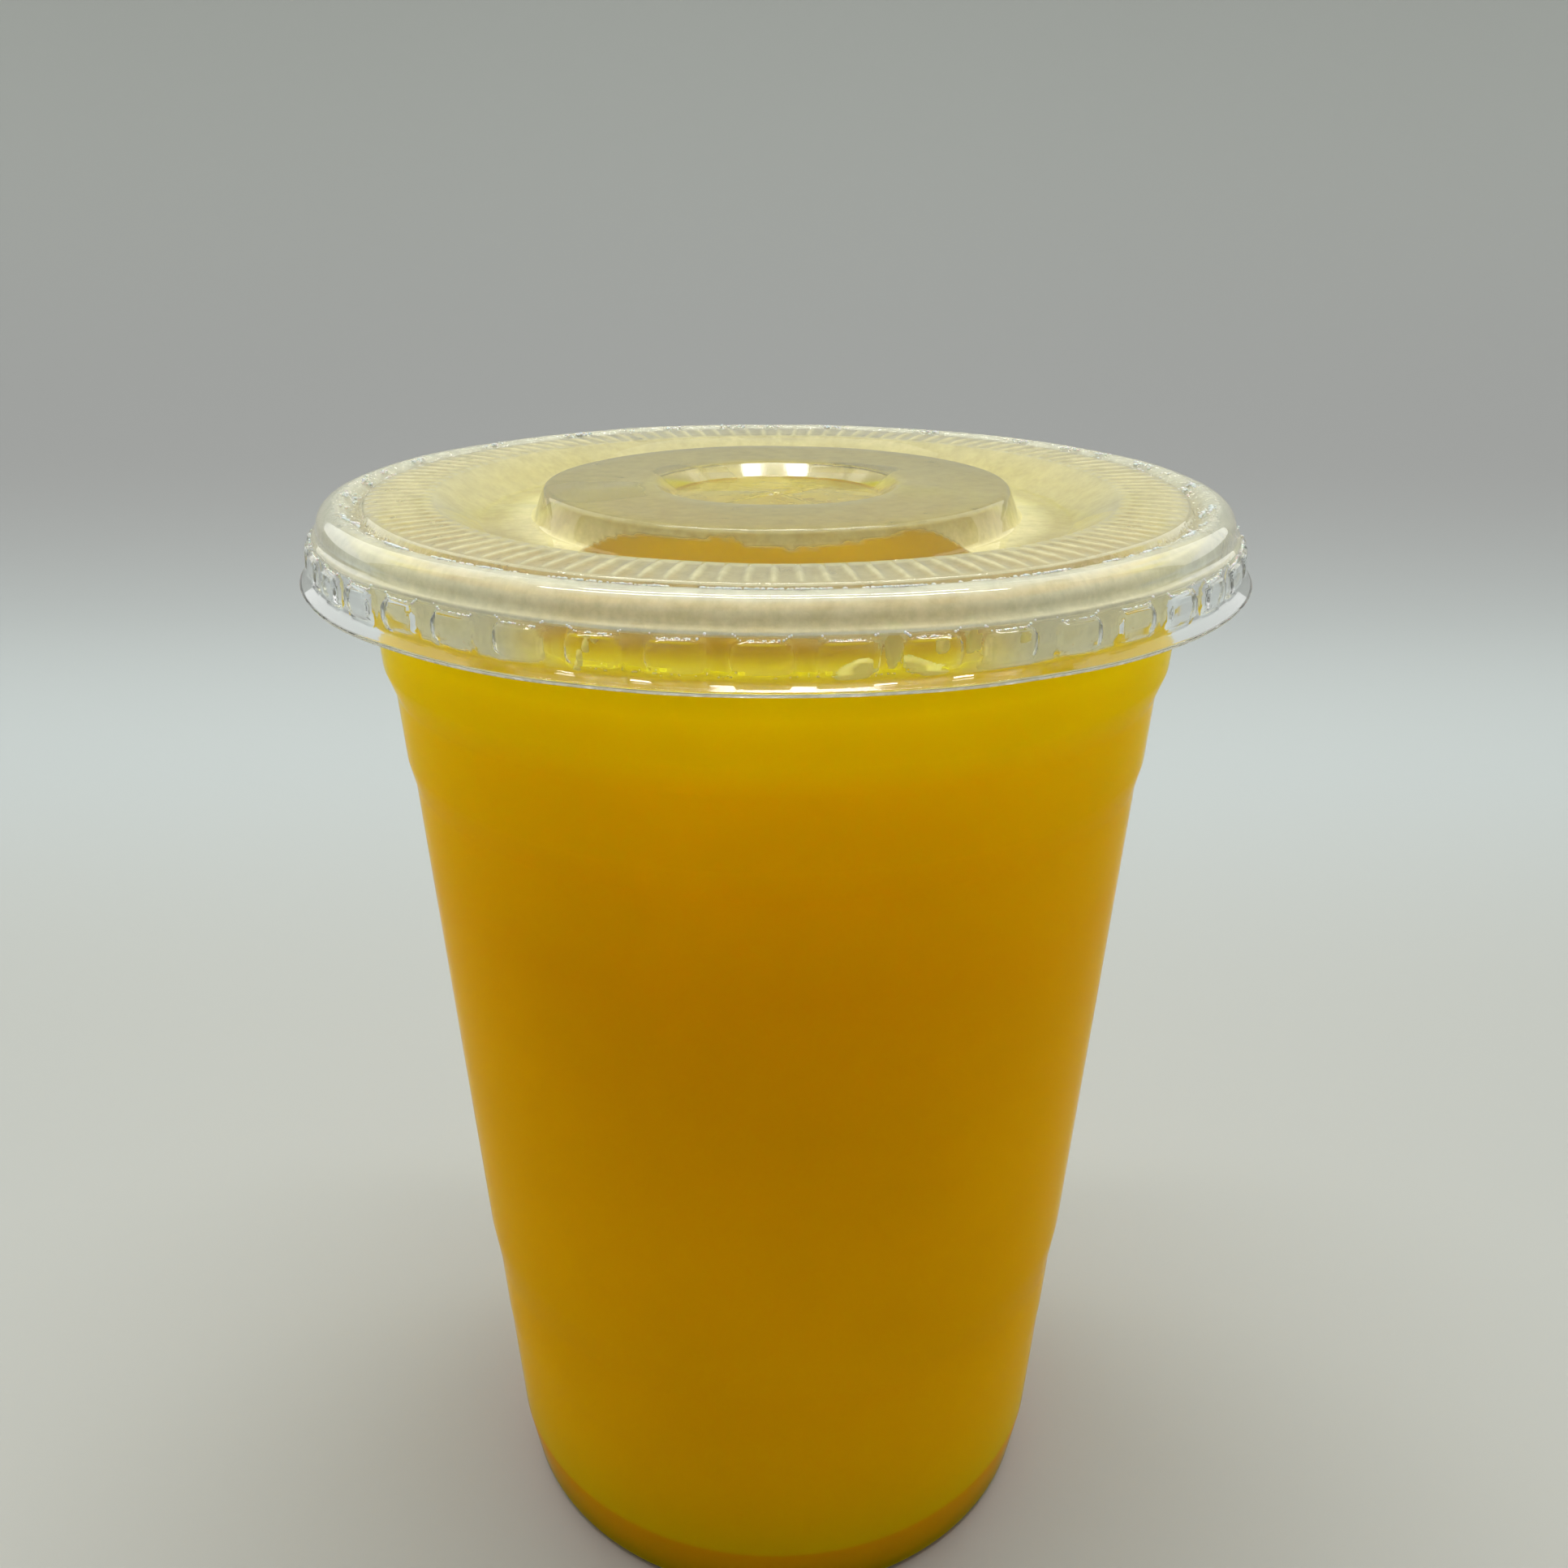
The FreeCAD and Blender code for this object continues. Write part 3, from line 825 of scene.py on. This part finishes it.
def flap_columns():
    """For each flap, the columns of the lid's rings between its two cuts, and its bend."""
    degrees = np.degrees(column_angles()[0])
    for index, bend in enumerate(FLAP_BENDS):
        turned = np.mod(degrees - FLAP_CROSS_ANGLE - 90 * index + 0.01, 360)
        columns = np.where(turned <= 90.02)[0]
        yield columns[np.argsort(turned[columns])], bend


def add_flaps(mesh_data, upper_edge, lower_edge):
    """The four flaps of the crossed cut, which grow out of the dish's floor."""
    vertices, faces = mesh_data
    for columns, bend in flap_columns():
        upper = flap_grid(upper_edge, bend, columns)
        lower = flap_grid(lower_edge, bend, columns)
        rows, width, _ = upper.shape
        base = len(vertices)
        vertices.extend(upper.reshape(-1, 3).tolist())
        vertices.extend(lower.reshape(-1, 3).tolist())
        layer = rows * width
        faces += grid_faces(rows, width, base)
        faces += [(a, d, c, b) for a, b, c, d in grid_faces(rows, width, base + layer)]
        rim = [base + row * width for row in range(rows)]
        rim += [base + (rows - 1) * width + column for column in range(1, width)]
        rim += [base + row * width + width - 1 for row in range(rows - 2, -1, -1)]
        for a, b in zip(rim, rim[1:]):
            faces.append((a, b, b + layer, a + layer))


def make_lid(material, edge_material):
    """The lid's sheet, with ribs, lugs and the flaps of the straw cut, and its bright cut edge."""
    path = lid_path()
    upper = pressed_rings(path, path, UPPER_PEBBLE)
    lower = pressed_rings(path, offset_path(path, -SHEET), LOWER_PEBBLE)
    rings = np.concatenate([lower, upper[::-1]])
    ring_count, columns, _ = rings.shape
    vertices = rings.reshape(-1, 3).tolist()
    faces = ring_faces(ring_count, columns)
    edge_faces = range((len(lower) - 1) * columns, len(lower) * columns)
    add_flaps((vertices, faces), upper[0], lower[0])
    lid = link_mesh("lid_sheet", vertices, faces)
    finish_piece(lid, "lid_plastic", material, "lid")
    lid.data.materials.append(edge_material)
    for index in edge_faces:
        lid.data.polygons[index].material_index = 1
    shape = bmesh.new()
    shape.from_mesh(lid.data)
    bmesh.ops.remove_doubles(shape, verts=shape.verts, dist=1e-6)
    bmesh.ops.recalc_face_normals(shape, faces=shape.faces)
    shape.to_mesh(lid.data)
    shape.free()


# ---- Fog, haze, bubbles and drops ----------------------------------------------------------

def set_cover(piece, values):
    """Store how dense a film is at each vertex, for its material."""
    cover = piece.data.attributes.new("cover", "FLOAT", "POINT")
    cover.data.foreach_set("value", np.clip(values, 0, 1).astype(np.float32).ravel())


def fog_density(x, y, z):
    """How dense the fog under the lid is at each point."""
    reach = np.hypot(x, y) / MM
    density = np.interp(reach, *zip(*FOG_COVER))
    slope = (reach > SLOPE_RING[0]) & (reach < SLOPE_RING[1])
    height = (z - MOAT_FLOOR + SHEET) / (PLATEAU - MOAT_FLOOR)
    edge = np.interp(x / MM, *zip(*WET_STRIP)) + 0.04 * ripple(x, y, z, 3 * MM, seed=31)
    wet = smooth_step((edge - height) / 0.08 + 0.5) * (y < 0) * slope
    density = density * (1 - wet)
    for (middle_x, middle_y), (half_x, half_y), stays in WET_PATCHES:
        away = np.hypot((x / MM - middle_x) / half_x, (y / MM - middle_y) / half_y)
        away = away + 0.12 * ripple(x, y, z, 4 * MM, seed=37)
        density = density * (stays + (1 - stays) * smooth_step((away - 0.85) / 0.25))
    # The ribs hold more of it than the gaps between them, and this denser fog on them is also a
    # painted highlight that brings them out.
    ridge = rib_lift(reach * MM, np.arctan2(y, x)) / RIB_HEIGHT
    on_deck = (reach > DECK_RING[0]) & (reach < DECK_RING[1])
    density = density * np.where(on_deck, 0.64 + 0.5 * ridge ** 1.5, 1)
    # The hood stays clearer away from the front.
    hood_share = smooth_step((reach - 45) / 1.5)
    density = density * (1 - 0.55 * hood_share * smooth_step((y / MM + 46) / 34))
    return density * (1 + 0.08 * ripple(x, y, z, 9 * MM, seed=41))


def make_fog(material):
    """Fine condensation under the lid, from the flaps out and down round the rolled rim."""
    path = np.array(subdivided([tuple(p) for p in lid_path()], 0.55 * MM))
    path = path[(path[:, 0] < ROLL_MIDDLE[0]) | (path[:, 1] > ROLL_MIDDLE[1] - 1.3 * MM)]
    rings = pressed_rings(path, offset_path(path, -SHEET + FOG_DEPTH))
    vertices = rings.reshape(-1, 3).tolist()
    faces = ring_faces(*rings.shape[:2])
    for columns, bend in flap_columns():
        grid = flap_grid(rings[0], bend, columns)
        rows, width, _ = grid.shape
        faces += grid_faces(rows, width, len(vertices))
        vertices += grid.reshape(-1, 3).tolist()
    fog = link_mesh("lid_fog", vertices, faces)
    set_cover(fog, fog_density(*np.array(vertices).T))
    finish_piece(fog, "lid_plastic", material)


def make_wall_haze(material):
    """Froth and mist at and above the level, drawn within the cup's wall, thinner at the front."""
    low, high = JUICE_LEVEL - 1.1 * MM, RIM_TOP - ROLL_RADIUS
    inset = WALL * 0.4
    neck_inside = NECK[0] - inset
    path = [(wall_radius_at(low) - inset, low), (neck_inside, NECK[1]),
            (roll_point(ROLL_RADIUS - WALL, 180)[0] - inset, high)]
    rings = turned_rings(subdivided(path, 0.3 * MM), 540)
    haze = skin("wall_haze", rings, False)
    x, y, z = rings[:, :, 0], rings[:, :, 1], rings[:, :, 2]
    from_front = np.degrees(np.arctan2(np.abs(x + 1.5 * MM), -y))
    sides = smooth_step((from_front - 20) / 14)
    up = (z - JUICE_LEVEL) / (high - JUICE_LEVEL)
    uneven = ripple(x, y, z, 7 * MM, seed=53)
    front = 0.55 * smooth_step((up - 0.35 + 0.12 * uneven) / 0.5)
    flank = 0.95 * smooth_step((z - low) / (0.7 * MM) + 0.4 * uneven)
    set_cover(haze, front * (1 - sides) + flank * sides)
    finish_piece(haze, "juice", material)


def ball(radius, flatten=1.0, subdivisions=2):
    """Vertices and faces of a small rounded bead."""
    shape = bmesh.new()
    bmesh.ops.create_icosphere(shape, subdivisions=subdivisions, radius=radius)
    points = np.array([v.co[:] for v in shape.verts]) * (1, 1, flatten)
    faces = [tuple(v.index for v in face.verts) for face in shape.faces]
    shape.free()
    return points, faces


def make_level_bubbles(material):
    """A line of fine bubbles where the juice meets the wall, in uneven runs."""
    rng = np.random.default_rng(SEED)
    mesh_data = ([], [])
    radius = wall_radius_at(JUICE_LEVEL) - WALL * 0.5
    for _ in range(BUBBLE_COUNT):
        turn = rng.uniform(0, 2 * math.pi)
        if math.sin(5 * turn + 3.4) + math.sin(13 * turn) < rng.uniform(-0.6, 0.8):
            continue
        points, own_faces = ball(rng.uniform(*BUBBLE_RADII) * MM)
        middle = (radius * math.cos(turn), radius * math.sin(turn),
                  JUICE_LEVEL + rng.normal() * 0.14 * MM)
        add_shape(mesh_data, points + middle, own_faces)
    bubbles = link_mesh("level_bubbles", *mesh_data)
    finish_piece(bubbles, "juice", material)


def make_lug_beads(material):
    """Fine beads of water along the top ledge of each lug, turning up at its ends, pale as painted
    highlights.
    """
    rng = np.random.default_rng(SEED + 1)
    mesh_data = ([], [])
    top = LUG_TOP - 0.2 * MM
    out = lid_path()[-1][0] - LIP_FLARE + 0.1 * MM
    for lug in range(LUG_COUNT):
        lug_middle = math.radians(LUG_FIRST_ANGLE - lug * 360.0 / LUG_COUNT)
        for across in np.arange(-2.3, 2.35, 0.2):
            if rng.uniform() < 0.3:
                continue
            lift = 0.5 * smooth_step((abs(across) - 1.5) / 0.9)
            turn = lug_middle + across * MM / out
            middle = (out * math.cos(turn), out * math.sin(turn),
                      top + (lift + rng.uniform(-0.05, 0.05)) * MM)
            points, own_faces = ball(rng.uniform(*LUG_BEAD_RADII) * MM)
            add_shape(mesh_data, points + middle, own_faces)
    beads = link_mesh("lug_beads", *mesh_data)
    finish_piece(beads, "juice", material)


def make_groove_beads(material):
    """Larger beads of water along the groove and the top of the hood, thickest at the front, pale
    as painted glints.
    """
    rng = np.random.default_rng(SEED + 2)
    path = np.array(subdivided([tuple(p) for p in lid_path()], 0.1 * MM))
    middles = offset_path(path, 0.02 * MM)
    near = (path[:, 0] > 43 * MM) & (path[:, 0] < 46.5 * MM)
    path, middles = path[near], middles[near]
    mesh_data = ([], [])
    for _ in range(BEAD_COUNT):
        turn = rng.uniform(0, 2 * math.pi)
        front = max(0.0, -math.sin(turn)) ** 3
        runs = math.sin(23 * turn + 1) + math.sin(41 * turn) + 1.6 * front
        if runs < rng.uniform(0.0, 2.6):
            continue
        wanted = rng.choice(GROOVE_BEAD_ROWS) * MM + rng.normal() * GROOVE_BEAD_SPREAD * MM
        out, height = middles[np.argmin(np.abs(path[:, 0] - wanted))]
        points, own_faces = ball(rng.uniform(*GROOVE_BEAD_RADII) * MM, 0.6, 1)
        middle = (out * math.cos(turn), out * math.sin(turn), height)
        add_shape(mesh_data, points + middle, own_faces)
    beads = link_mesh("groove_beads", *mesh_data)
    finish_piece(beads, "juice", material)


def drop_patch(lumps, radius_at, thick=0.55 * MM, cell=0.11):
    """A domed drop on a wall: a fine grid over its lumps, raised where they add up."""
    angles = [lump[0] for lump in lumps]
    heights = [lump[1] for lump in lumps]
    per_degree = radius_at(heights[0] * MM) / MM * math.pi / 180
    reach = 1.5 * max(lump[2] for lump in lumps)
    span = np.arange(min(angles) * per_degree - reach, max(angles) * per_degree + reach, cell)
    rise = np.arange(min(heights) - 1.6, max(heights) + 1.6, cell)
    across, up = np.meshgrid(span, rise)
    field = np.zeros_like(across)
    for angle, height, half_width, half_height in lumps:
        dx = (across - angle * per_degree) / half_width
        dz = (up - height) / half_height
        field += np.exp(-0.9 * (dx * dx + dz * dz))
    full = np.clip((field - 0.4) / 0.6, 0, 1)
    stands = thick * np.sqrt(full)
    vertices, faces = [], []
    numbers = -np.ones(field.shape, int)
    wanted = np.zeros(field.shape, bool)
    filled = full > 0
    cells = filled[:-1, :-1] | filled[1:, :-1] | filled[:-1, 1:] | filled[1:, 1:]
    for row, column in zip(*np.where(cells)):
        wanted[row:row + 2, column:column + 2] = True
    for row, column in zip(*np.where(wanted)):
        numbers[row, column] = len(vertices)
        turn = math.radians(across[row, column] / per_degree)
        height = up[row, column] * MM
        out = radius_at(height) + stands[row, column]
        vertices.append((out * math.cos(turn), out * math.sin(turn), height))
    for row, column in zip(*np.where(cells)):
        faces.append((numbers[row, column], numbers[row, column + 1],
                      numbers[row + 1, column + 1], numbers[row + 1, column]))
    return vertices, faces


def make_drops(material):
    """Drops of juice on the outside of the cup's wall, behind the lid's skirt."""
    mesh_data = ([], [])
    for lumps in WALL_DROPS:
        add_shape(mesh_data, *drop_patch(lumps, lambda z: wall_radius_at(z) + 0.02 * MM))
    drops = link_mesh("wall_drops", *mesh_data)
    finish_piece(drops, "juice", material)


# ---- Stage ---------------------------------------------------------------------------------

def make_backdrop():
    """A pale sweep: floor in front, curving up into a wall behind."""
    bend, wall_y, half, height = 0.35, 0.75, 3.0, 2.5
    profile = [(-2.0, 0.0), (0.0, 0.0), (wall_y - bend, 0.0)]
    for turn in np.linspace(5, 90, 18):
        profile.append((wall_y - bend + bend * math.sin(math.radians(turn)),
                        bend - bend * math.cos(math.radians(turn))))
    profile.append((wall_y, height))
    vertices = [(x, y, z) for y, z in profile for x in (-half, half)]
    faces = [(2 * k, 2 * k + 1, 2 * k + 3, 2 * k + 2) for k in range(len(profile) - 1)]
    backdrop = link_mesh("backdrop", vertices, faces)
    material, tree, output = new_material("paper_sweep")
    shader = add_node(tree, "ShaderNodeBsdfPrincipled", Roughness=0.9, Specular_IOR_Level=0.1)
    place = tree.nodes.new("ShaderNodeTexCoord")
    back_and_up = tree.nodes.new("ShaderNodeVectorMath")
    back_and_up.operation = "DOT_PRODUCT"
    back_and_up.inputs[1].default_value = (0, 1, 1)
    tree.links.new(place.outputs["Object"], back_and_up.inputs[0])
    span = add_node(tree, "ShaderNodeMapRange", From_Min=-0.3, From_Max=1.0)
    tree.links.new(back_and_up.outputs["Value"], span.inputs["Value"])
    # Painted light and shade: the paper's tone changes from the front of the floor up the wall.
    tone = colour_ramp(tree, span.outputs[0], BACKDROP_LIGHT_AND_SHADE_TONES)
    tree.links.new(tone.outputs["Color"], shader.inputs["Base Color"])
    tree.links.new(shader.outputs[0], output.inputs["Surface"])
    backdrop.data.materials.append(material)


def add_area(name, place, size, power):
    """A soft white rectangular lamp that looks at the cup."""
    lamp = bpy.data.lights.new(name, "AREA")
    lamp.shape = "RECTANGLE"
    lamp.size, lamp.size_y = size
    lamp.energy = power
    holder = bpy.data.objects.new(name, lamp)
    holder.location = place
    holder.rotation_euler = (Vector(LAMP_AIM) - Vector(place)).to_track_quat("-Z", "Y").to_euler()
    bpy.context.scene.collection.objects.link(holder)


def light_surroundings():
    """A pale grey surround, dimmer on the camera's side."""
    world = bpy.data.worlds.new("studio")
    world.use_nodes = True
    tree = world.node_tree
    place = tree.nodes.new("ShaderNodeTexCoord")
    split = tree.nodes.new("ShaderNodeSeparateXYZ")
    tree.links.new(place.outputs["Generated"], split.inputs[0])
    span = add_node(tree, "ShaderNodeMapRange", From_Min=-1.0, From_Max=1.0)
    tree.links.new(split.outputs["Y"], span.inputs["Value"])
    tone = colour_ramp(tree, span.outputs[0], WORLD_TONES)
    background = tree.nodes["Background"]
    tree.links.new(tone.outputs["Color"], background.inputs["Color"])
    bpy.context.scene.world = world


def light_scene():
    """A soft lamp and two narrow strips overhead, two lamps behind the sides, and the surround."""
    for name, (place, size, power) in LAMPS.items():
        add_area(name, place, size, power)
    light_surroundings()


def place_camera():
    """The camera a little above the lid, looking down at the cup."""
    camera = bpy.data.cameras.new("camera")
    camera.sensor_width = 36.0
    camera.lens = CAMERA_LENS
    camera.clip_start = 0.01
    holder = bpy.data.objects.new("camera", camera)
    tilt = Matrix.Rotation(math.pi / 2 - CAMERA_PITCH, 4, "X")
    turn = tilt @ Matrix.Rotation(CAMERA_ROLL, 4, "Z")
    holder.matrix_world = Matrix.Translation(CAMERA_PLACE) @ turn
    bpy.context.scene.collection.objects.link(holder)
    bpy.context.scene.camera = holder


def main():
    cup_clear = clear_plastic(
        "cup_clear", tint=(0.97, 0.98, 0.95), shade=(0.97, 0.98, 0.95),
        ior=1.02, specular=0.4, rough_low=0.08, rough_high=0.2, haze_scale=60.0, relief=0.05,
    )
    lid_clear = clear_plastic(
        "lid_clear", tint=(0.985, 0.99, 0.97), shade=(0.95, 0.96, 0.93),
        ior=1.42, specular=0.75, rough_low=0.02, rough_high=0.07, haze_scale=90.0, relief=0.06,
        wet_ring=WET_RING,
    )
    make_cup(cup_clear)
    make_juice(juice_material())
    make_lid(lid_clear, cut_edge_material())
    make_fog(film_material("lid_fog", FOG_LIGHT_AND_SHADE_TONES, scale=420.0, patchy=0.22))
    froth_tones = [(0.0, HAZE_TONE), (1.0, HAZE_TONE)]
    make_wall_haze(film_material("froth", froth_tones, scale=320.0, patchy=0.15))
    make_level_bubbles(drop_material("juice_bubble", BUBBLE_TONE, 0.9))
    make_drops(drop_material("juice_drop", DROP_TONE, 0.6))
    # Near-white beads: drops of water with painted glints.
    water = drop_material("water_bead_glint", BEAD_GLINT_TONE, 0.85)
    make_lug_beads(water)
    make_groove_beads(water)
    make_backdrop()
    light_scene()
    place_camera()
    scene = bpy.context.scene
    scene.view_settings.view_transform = "Standard"
    # Light passes many clear surfaces here, and Blender's own counts show the lid a little darker.
    scene.cycles.max_bounces = 16
    scene.cycles.glossy_bounces = 12
    scene.cycles.transmission_bounces = 16
    scene.cycles.transparent_max_bounces = 16


main()
